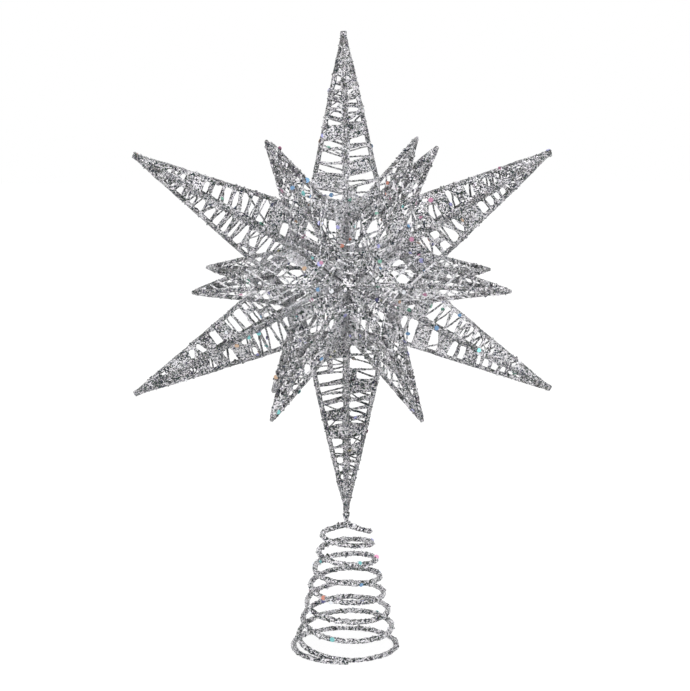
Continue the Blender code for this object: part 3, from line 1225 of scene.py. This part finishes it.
    def winding_shares(self, rng: np.random.Generator) -> np.ndarray:
        """Shares along the edge wires at which the thread bends round them, in winding order.

        Args:
            rng: source of the irregularities.

        Returns:
            One share for each bend.
        """
        steps = 1.0 + self.unevenness * rng.uniform(-1.0, 1.0, 4 * self.plan.film.loops)
        rise = np.concatenate([[0.0], np.cumsum(steps)])
        rise = rise / rise[-1]
        edge = (self.tip - self.corners[0]).length
        last = 1.0 - self.winding_end * self.tip_length / edge
        wide = self.crowding[self.large]
        even = (1.0 - wide) * rise + wide * rise * (2.0 - rise)
        return self.first_bend + (last - self.first_bend) * even

    def bend_point(self, i: int, share: float, stand: float) -> np.ndarray:
        """Point beside edge wire i where a thread bends round it.

        Args:
            i: number of the edge wire.
            share: share of the way from its base to the tip.
            stand: distance of the thread from the wire's centre line.

        Returns:
            The point in the spike's own axes.
        """
        spot = self.corners[i].lerp(self.tip, share)
        out = (self.faces[i - 1] + self.faces[i]).normalized()
        return np.array(spot + out * stand)

    def thread_lines(self, shares: np.ndarray, rng: np.random.Generator) -> list[Line]:
        """Draws the winding and the loose strands that cross it.

        Args:
            shares: shares at which the winding bends.
            rng: source of the irregularities.

        Returns:
            Lines in the spike's own axes.
        """
        stand = EDGE_WIRE.radius + self.thread_gap
        path = np.array([self.bend_point(n % 4, s, stand) for n, s in enumerate(shares)])
        lines = [Line(path, rng.uniform(*self.thread_width, len(path)))]
        last = shares[-1]
        film = self.plan.film
        for i in range(4):
            for _ in range(film.strands if self.looks_out(i) else film.turned_strands):
                start = rng.uniform(*self.strand_start) * last
                stop = start + rng.normal(0.0, self.strand_lean)
                stop = min(max(stop, self.strand_stop[0]), self.strand_stop[1] * last)
                first = self.bend_point(i, start, stand * self.strand_stand)
                second = self.bend_point((i + 1) % 4, stop, stand * self.strand_stand)
                sag = np.array(self.faces[i]) * rng.uniform(*self.strand_sag_mm) * MM
                points = np.array([first, (first + second) / 2 + sag, second])
                lines.append(Line(points, rng.uniform(*self.strand_width)))
        return lines

    def film(self, shares: np.ndarray, rng: np.random.Generator) -> Mesh:
        """Spreads the glued film over the faces that look out.

        Args:
            shares: shares at which the winding bends.
            rng: source of the irregularities.

        Returns:
            A closed mesh in the spike's own axes.
        """
        spots, faces, first = [], [], 0
        film = self.plan.film
        top = 1.0 - self.tip_length / (self.tip - self.corners[0]).length
        last = 4 * (film.loops - 1)
        for i in filter(self.looks_out, range(4)):
            left, right = shares[i : last + i + 1 : 4], shares[i + 1 : last + i + 2 : 4]
            corners = self.corners[i], self.corners[(i + 1) % 4]
            sheet = FilmSheet(*corners, self.tip, np.array(self.faces[i]), film, rng)
            points, triangles = sheet.mesh(left, right, top, self.film_lift)
            spots.append(points)
            faces.append(triangles + first)
            first += len(points)
        mesh = bpy.data.meshes.new("film")
        mesh.from_pydata(np.concatenate(spots).tolist(), [], np.concatenate(faces).tolist())
        return mesh

    def build(self, trees: Trees, finishes: dict[Coat, Material]) -> list[Piece]:
        """Makes the frame and the web, and fixes both to the star.

        Args:
            trees: the node trees that grow wires, threads and flakes.
            finishes: the glitter finishes.

        Returns:
            The frame piece and the web piece.
        """
        rng = np.random.default_rng(self.seed)
        coat, web = finishes[Coat.WIRE], finishes[self.plan.web]
        noise = self.wire_noise * self.seed
        wires = trees.strand.coat(self.frame_lines(), EDGE_WIRE, noise, coat)
        self.bowed(wires)
        wires = trees.flakes.scatter(wires, EDGE_FLAKES, self.seed, coat)
        if self.hour != self.smooth_hour:
            wires = trees.flakes.scatter(wires, CLUMPS, self.seed + self.clump_seed, coat)
        shares = self.winding_shares(rng)
        noise = self.thread_noise * self.seed
        threads = trees.strand.coat(self.thread_lines(shares, rng), THREAD, noise, web)
        net = merged([threads, self.film(shares, rng)])
        self.bowed(net)
        seed = self.seed + self.web_seed
        net = trees.flakes.scatter(net, WEB_FLAKES, seed, web, self.centre.z)
        pieces = []
        for part, mesh, slot in (("frame", wires, Slot.WIRE), ("winding", net, Slot.THREAD)):
            node = f"{self.kind.value}_{part}_{self.hour}"
            piece = shown(f"glitter_{node}", mesh)
            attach(piece, "star")
            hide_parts(node)
            pieces.append(piece)
        return pieces


@dataclass
class Star:
    """The eighteen spikes round the hollow core."""

    centre: Vector
    sizes: StarSizes = field(default_factory=StarSizes)
    first_seed: int = 11
    seed_step: int = 7
    knot_lift: float = 0.9 * MM
    knot_reach: float = 1.5
    knot_ring: float = 0.55
    knot_ring_lift: float = 0.8
    knot_noise: float = 9.3
    knot_seed: int = 211
    bridge_seed: int = 402
    bridge_count: int = 6
    bridge_start: tuple[float, float] = (0.02, 0.26)
    bridge_slant: tuple[float, float] = (-0.02, 0.12)
    bridge_sag: tuple[float, float] = (0.1, 0.35)
    bridge_thickness: float = 0.5

    def build(self, trees: Trees, finishes: dict[Coat, Material]) -> list[Piece]:
        """Builds every spike, each with its own seed, and the two knots.

        Args:
            trees: the node trees.
            finishes: the glitter finishes.

        Returns:
            All the star's pieces.
        """
        spikes = [
            Spike(*spot, self.first_seed + self.seed_step * i, self.centre, self.sizes, plan)
            for i, (spot, plan) in enumerate(SPIKE_PLANS.items())
        ]
        pieces = []
        for spike in spikes:
            pieces.extend(spike.build(trees, finishes))
        for kind in (SpikeKind.FRONT, SpikeKind.BACK):
            ring = [spike for spike in spikes if spike.kind is kind]
            pieces.append(self.knot(kind, ring, trees, finishes[Coat.FINE_WEB]))
        return pieces

    def knot(self, kind: SpikeKind, ring: list[Spike], trees: Trees, web: Material) -> Piece:
        """Ties the knot of glued thread over the pole where six small spikes meet.

        Args:
            kind: front or back pole.
            ring: the six spikes round the pole.
            trees: the node trees.
            web: finish of the thread.

        Returns:
            The knot.
        """
        ring = sorted(ring, key=lambda spike: spike.azimuth)
        spots = [np.array(spike.place @ spike.corners[2]) for spike in ring]
        middle = sum(spots) / len(spots)
        out = np.array((0.0, math.copysign(self.knot_lift, middle[1]), 0.0))
        lines = []
        for one, other in zip(spots[:3], spots[3:]):
            far = [middle + self.knot_reach * (spot - middle) for spot in (one, other)]
            lines.append(Line(np.array([far[0], one + out, middle + out, other + out, far[1]])))
        lift = self.knot_ring_lift * out
        loop = [middle + self.knot_ring * (spot - middle) + lift for spot in spots]
        lines.append(Line(np.array(loop), closed=True))
        lines += self.bridges(ring)
        mesh = trees.strand.coat(lines, KNOT_THREAD, self.knot_noise, web)
        mesh = trees.flakes.scatter(mesh, KNOT_FLAKES, self.knot_seed, web)
        piece = shown(f"glitter_knot_{kind.value}", mesh)
        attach(piece, "star")
        return piece

    def bridges(self, ring: list[Spike]) -> list[Line]:
        """Lays loose threads over the valleys between neighbouring small spikes, near the pole.

        Args:
            ring: the six spikes round a pole, in order.

        Returns:
            The line of each thread, sagging into its valley.
        """
        rng = np.random.default_rng(self.bridge_seed)
        lines = []
        for i, spike in enumerate(ring):
            pair = (spike, ring[(i + 1) % len(ring)])
            for _ in range(self.bridge_count):
                shares = rng.uniform(*self.bridge_start) + rng.uniform(*self.bridge_slant, 2)
                start, stop = (
                    one.place @ one.corners[2].lerp(one.tip, float(max(share, 0.0)))
                    for one, share in zip(pair, shares)
                )
                middle = (start + stop) / 2
                inward = (self.centre - middle).normalized()
                middle += inward * float(rng.uniform(*self.bridge_sag)) * (stop - start).length
                lines.append(Line(np.array([start, middle, stop]), self.bridge_thickness))
        return lines


@dataclass
class SpringBase:
    """The conical coil spring and the solder neck on its crest."""

    sizes: SpringSizes = field(default_factory=SpringSizes)
    steps: int = 48
    tail_turns: float = 0.5
    crest_power: float = 1.2
    peak_lift: float = 1.3 * MM
    peak_reach: float = 0.1
    peak_swell: float = 0.35
    coil_noise: float = 3.1
    coil_seed: int = 301
    clump_seed: int = 302
    neck_noise: float = 5.7
    neck_seed: int = 401
    neck_swell: tuple[float, ...] = (0.85, 0.75, 0.72, 0.78, 0.9, 1.05, 1.2, 1.28, 1.05)

    def path(self) -> np.ndarray:
        """Centre line: a closed foot turn, a rising cone and a last half turn bent across.

        Returns:
            Points from the foot to the tail.
        """
        s = self.sizes
        step = 2 * s.wire_radius + s.turn_gap
        second = s.foot_radius - step
        points = []
        for j in range(round((s.turns + self.tail_turns) * self.steps) + 1):
            turn = j / self.steps
            angle = 2 * math.pi * turn
            rising = min(max(turn - 1.0, 0.0), s.turns - 1.0)
            share = rising / (s.turns - 1.0)
            radius = second + (s.top_radius - second) * share + step * (1.0 - min(turn, 1.0))
            lean = s.back_lift * (1.0 - share) * (1.0 - math.cos(angle)) / 2
            height = s.foot() + s.pitch * rising + (lean if turn > 1.0 else 0.0)
            across = -radius * math.cos(angle)
            if turn > s.turns:
                tail = (turn - s.turns) / self.tail_turns
                across = s.crest_sweep * math.sin(2 * math.pi * tail)
                height = s.foot() + s.pitch * rising + s.tail_lift * tail
                height += s.crest_lift * (1.0 - abs(2.0 * tail - 1.0) ** self.crest_power)
                height += self.peak_lift * self.peak(turn)
            points.append((-radius * math.sin(angle), across, height))
        return np.array(points)

    def peak(self, turn: float) -> float:
        """How close a place is to the crest, where solder drew the coat up: 1 there, 0 away."""
        crest = self.sizes.turns + self.tail_turns / 2
        return max(0.0, 1.0 - abs(turn - crest) / self.peak_reach)

    def coil(self, trees: Trees, coat: Material) -> Piece:
        """Makes the coated coil, flat where it stands.

        Args:
            trees: the node trees.
            coat: finish of the wire.

        Returns:
            The spring piece.
        """
        path = self.path()
        thick = [1.0 + self.peak_swell * self.peak(j / self.steps) for j in range(len(path))]
        line = Line(path, np.array(thick))
        mesh = trees.strand.coat([line], COIL_WIRE, self.coil_noise, coat)
        mesh = trees.flakes.scatter(mesh, COIL_FLAKES, self.coil_seed, coat)
        mesh = trees.flakes.scatter(mesh, CLUMPS, self.clump_seed, coat)
        spots = points_of(mesh)
        spots[:, 2] = np.maximum(spots[:, 2], 0.0)
        mesh.vertices.foreach_set("co", spots.reshape(-1))
        piece = shown("glitter_base_spring", mesh)
        self.follow(piece)
        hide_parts("base_spring")
        return piece

    def follow(self, piece: Piece) -> None:
        """Bakes a piece's place into its mesh."""
        self.sizes.crest()
        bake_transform(piece)

    def neck(self, trees: Trees, coat: Material) -> Piece:
        """Makes the solder neck under the star's lowest tip.

        Args:
            trees: the node trees.
            coat: finish of the neck.

        Returns:
            The neck piece.
        """
        s = self.sizes
        rise = np.linspace(0.0, 1.0, len(self.neck_swell))
        path = np.stack([0 * rise, 0 * rise, s.neck_foot() + s.neck_length * rise], axis=1)
        line = Line(path, np.array(self.neck_swell))
        mesh = trees.strand.coat([line], SOLDER_NECK, self.neck_noise, coat)
        mesh = trees.flakes.scatter(mesh, NECK_FLAKES, self.neck_seed, coat)
        piece = shown("glitter_solder_neck", mesh)
        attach(piece, "neck")
        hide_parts("solder_neck")
        return piece


@dataclass
class PhotoCamera:
    """Camera at the photograph's angle, in front of the star and a little above it."""

    centre: Vector
    offset: tuple[float, float, float] = (-21.7 * MM, -752.0 * MM, 72.4 * MM)
    yaw: float = -0.0283
    pitch: float = 0.1399
    roll: float = -0.0021
    lens: float = 82.48
    sensor: float = 36.0
    nearest: float = 0.01

    def place(self) -> Vector:
        """Where the camera stands."""
        return self.centre + Vector(self.offset)

    def build(self) -> None:
        """Makes the camera the scene's own."""
        data = bpy.data.cameras.new("photo_camera")
        data.lens = self.lens
        data.sensor_width = self.sensor
        data.clip_start = self.nearest
        camera = bpy.data.objects.new("photo_camera", data)
        camera.location = self.place()
        turn = Matrix.Rotation(self.yaw, 3, "Z") @ Matrix.Rotation(math.pi / 2 - self.pitch, 3, "X")
        camera.rotation_euler = (turn @ Matrix.Rotation(self.roll, 3, "Z")).to_euler()
        bpy.context.scene.collection.objects.link(camera)
        bpy.context.scene.camera = camera


@dataclass
class Studio:
    """White floor, white surroundings and soft lamps, each with its place, side and power."""

    sky: float = 0.80
    floor_half: float = 6.0
    floor_grey: tuple[float, ...] = (0.88, 0.88, 0.88, 1.0)
    floor_roughness: float = 0.9
    floor_glow: float = 0.72
    floor_white: float = 1.15
    lamp_target: tuple[float, float, float] = (0.0, 0.0, 0.15)
    lamps: tuple[tuple, ...] = (
        ("key_lamp", (0.75, -1.1, 1.15), 0.9, 4.9),
        ("fill_lamp", (-1.1, -0.9, 0.5), 1.0, 2.15),
        ("crown_lamp", (0.1, 0.7, 1.3), 0.9, 2.0),
    )

    def build(self) -> None:
        """Makes the world, the floor and the lamps."""
        self.world()
        self.floor()
        for name, place, side, power in self.lamps:
            self.lamp(name, place, side, power)
        bpy.context.scene.view_settings.view_transform = "Standard"

    @staticmethod
    def white_seen(maker: NodeMaker) -> Socket:
        """Adds a test for rays that should see plain white.

        Args:
            maker: maker of the nodes of the world or the floor.

        Returns:
            Socket that is 1 for camera, glossy and transmission rays.
        """
        rays = maker.add("ShaderNodeLightPath").outputs
        either = maker.maths("MAXIMUM", rays["Is Camera Ray"], rays["Is Glossy Ray"])
        return maker.maths("MAXIMUM", either, rays["Is Transmission Ray"])

    def world(self) -> None:
        """Sets white surroundings that light the object at a plain level."""
        world = bpy.data.worlds.new("studio")
        bpy.context.scene.world = world
        world.use_nodes = True
        maker = NodeMaker(world.node_tree)
        level = maker.ranged(self.white_seen(maker), self.sky, 1.0)
        sky = world.node_tree.nodes["Background"]
        maker.feed(sky, {"Color": (1.0, 1.0, 1.0, 1.0), "Strength": level})

    def floor(self) -> None:
        """Lays a white floor that keeps a soft shadow."""
        mesh = bpy.data.meshes.new("floor")
        signs = ((-1, -1), (1, -1), (1, 1), (-1, 1))
        corners = [(x * self.floor_half, y * self.floor_half, 0) for x, y in signs]
        mesh.from_pydata(corners, [], [(0, 1, 2, 3)])
        made, maker, shader = new_material("studio_floor")
        maker.feed(shader, {"Base Color": self.floor_grey, "Roughness": self.floor_roughness})
        glow = maker.add("ShaderNodeEmission", {"Strength": self.floor_white}).outputs[0]
        share = maker.maths("MULTIPLY", self.white_seen(maker), self.floor_glow)
        mix = maker.add("ShaderNodeMixShader", {0: share, 1: shader.outputs[0], 2: glow})
        maker.feed(made.node_tree.nodes["Material Output"], {"Surface": mix.outputs[0]})
        mesh.materials.append(made)
        floor = bpy.data.objects.new("floor", mesh)
        bpy.context.scene.collection.objects.link(floor)

    def lamp(self, name: str, place: tuple[float, ...], side: float, power: float) -> None:
        """Adds a soft square lamp that looks at the star.

        Args:
            name: name of the lamp.
            place: where it hangs.
            side: its side.
            power: its power in watts.
        """
        data = bpy.data.lights.new(name, "AREA")
        data.size = side
        data.energy = power
        lamp = bpy.data.objects.new(name, data)
        lamp.location = place
        aim = Vector(self.lamp_target) - lamp.location
        lamp.rotation_euler = aim.to_track_quat("-Z", "Y").to_euler()
        bpy.context.scene.collection.objects.link(lamp)


@dataclass
class Sequins:
    """Loose round sequins caught in the glue of the web and on the spring.

    Those in seen are plain from the front: millimetres right of the star's middle, millimetres
    above it, and the colour. The others lie at random.
    """

    seen: tuple[tuple[float, float, SequinTint], ...] = (
        (-32.3, -60.2, SequinTint.TEAL),
        (-18.2, 46.7, SequinTint.TEAL),
        (-7.3, 39.8, SequinTint.BLUE),
        (29.3, 19.5, SequinTint.ROSE),
        (15.6, -8.5, SequinTint.GOLD),
        (-12.9, 8.4, SequinTint.VIOLET),
    )
    seen_depth: float = -30.0
    star_tries: int = 360
    star_reach: float = 85.0 * MM
    star_seed: int = 81
    star_lean_seed: int = 5
    on_spring: int = 22
    tries_each: int = 3
    spring_reach: float = 26.0 * MM
    spring_middle: float = 30.0 * MM
    spring_seed: int = 78
    spring_lean_seed: int = 6
    aim_spread: tuple[float, float, float] = (0.7, 1.2, 0.7)
    inner_shares: tuple[float, float] = (0.5, 1.0)
    depth_share: float = 0.3
    run_up: float = 0.5
    odds: tuple[float, ...] = (0.12, 0.11, 0.19, 0.10, 0.06, 0.07, 0.08, 0.06, 0.07, 0.14)
    radius: float = 1.15 * MM
    standoff_mm: float = 0.18
    toward_eye: float = 0.6
    least_height: float = 3.0 * MM

    def first_hit(self, pieces: list[Piece], start: Vector, aim: Vector) -> Hit | None:
        """Finds where a line from outside first meets some pieces.

        Args:
            pieces: the pieces.
            start: where the line begins.
            aim: its direction.

        Returns:
            Place of the meeting and direction out of the surface, or nothing.
        """
        best = None
        for piece in pieces:
            met, spot, normal, _ = piece.ray_cast(start, aim)
            if met and (best is None or (spot - start).length < (best[0] - start).length):
                best = (spot, normal)
        if best is None:
            return None
        facing = (best[1] - aim * self.toward_eye).normalized()
        return best[0] - aim * self.standoff_mm * MM, facing

    def star_spots(self, pieces: list[Piece], eye: Vector, centre: Vector) -> list[tuple]:
        """Places the sequins that are plain to see from the front, and then the others.

        Args:
            pieces: pieces of the star.
            eye: where they are seen from.
            centre: middle of the star.

        Returns:
            Place, direction and colour of each sequin.
        """
        chosen = []
        for right, up, tint in self.seen:
            aim = centre + Vector((right, self.seen_depth, up)) * MM - eye
            hit = self.first_hit(pieces, eye, aim.normalized())
            if hit:
                chosen.append((*hit, tint.value))
        reach, count = self.star_reach, self.star_tries
        return chosen + self.spread_spots(pieces, centre, reach, count, self.star_seed)

    def spring_spots(self, coil: Piece) -> list[tuple]:
        """Places the sequins on the spring.

        Args:
            coil: the spring piece.

        Returns:
            Place, direction and colour of each sequin.
        """
        middle = Vector((0.0, 0.0, self.spring_middle))
        reach, count = self.spring_reach, self.tries_each * self.on_spring
        return self.spread_spots([coil], middle, reach, count, self.spring_seed)[: self.on_spring]

    def spread_spots(
        self, pieces: list[Piece], centre: Vector, reach: float, count: int, seed: int
    ) -> list[tuple]:
        """Spreads sequins over the outside of some pieces, all round.

        Args:
            pieces: pieces that carry sequins.
            centre: middle of the pieces.
            reach: radius in which the lines are aimed.
            count: how many lines are tried.
            seed: seed of the choice.

        Returns:
            Place, direction and colour of each sequin.
        """
        rng = np.random.default_rng(seed)
        tints = list(SequinTint)
        chosen = []
        for _ in range(count):
            aim = Vector(rng.normal(0.0, 1.0, 3) * self.aim_spread).normalized()
            inner = rng.choice(self.inner_shares)
            room = (reach, self.depth_share * reach, reach)
            target = centre + Vector(rng.uniform(-inner, inner, 3) * room)
            hit = self.first_hit(pieces, target - aim * self.run_up, aim)
            tint = tints[rng.choice(len(tints), p=self.odds)]
            if hit and hit[0].z > self.least_height:
                chosen.append((*hit, tint.value))
        return chosen

    def build(
        self, name: str, chosen: list[tuple], trees: Trees, foil: Material, seed: int
    ) -> Piece:
        """Sets a sequin on every chosen spot.

        Args:
            name: name of the piece.
            chosen: place, direction and colour of each sequin.
            trees: the node trees.
            foil: finish of the sequins.
            seed: seed of their lean.

        Returns:
            The piece.
        """
        places, ways, tints = zip(*chosen)
        mesh = bpy.data.meshes.new("sequin_spots")
        mesh.from_pydata(places, [], [])
        facing = mesh.attributes.new("facing", "FLOAT_VECTOR", "POINT")
        facing.data.foreach_set("vector", np.array(ways).reshape(-1))
        colour = mesh.attributes.new("foil", "FLOAT_COLOR", "POINT")
        colour.data.foreach_set("color", np.array([(*tint, 1.0) for tint in tints]).reshape(-1))
        made = trees.sequins.grow(mesh, {"Radius": self.radius, "Seed": seed, "Finish": foil})
        return shown(name, made)


def main() -> None:
    """Builds the tree topper, its studio and its camera in order."""
    logging.basicConfig(level=logging.INFO, format="%(name)s: %(message)s")
    spring_sizes = SpringSizes()
    star_sizes = StarSizes()
    centre = Vector((0.0, 0.0, spring_sizes.star_foot() + star_sizes.large_reach))
    camera = PhotoCamera(centre)
    camera.build()
    Studio().build()
    finishes = glitter_finishes(centre)
    foil = SequinFinish().build()
    trees = Trees()
    star_pieces = Star(centre, star_sizes).build(trees, finishes)
    base = SpringBase(spring_sizes)
    coil = base.coil(trees, finishes[Coat.SPRING])
    base.neck(trees, finishes[Coat.SPRING])
    sequins = Sequins()
    on_star = sequins.star_spots(star_pieces, camera.place(), centre)
    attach(sequins.build("star_sequins", on_star, trees, foil, sequins.star_lean_seed), "star")
    on_spring = sequins.spring_spots(coil)
    base.follow(
        sequins.build("spring_sequins", on_spring, trees, foil, sequins.spring_lean_seed)
    )


if __name__ == "__main__":
    main()
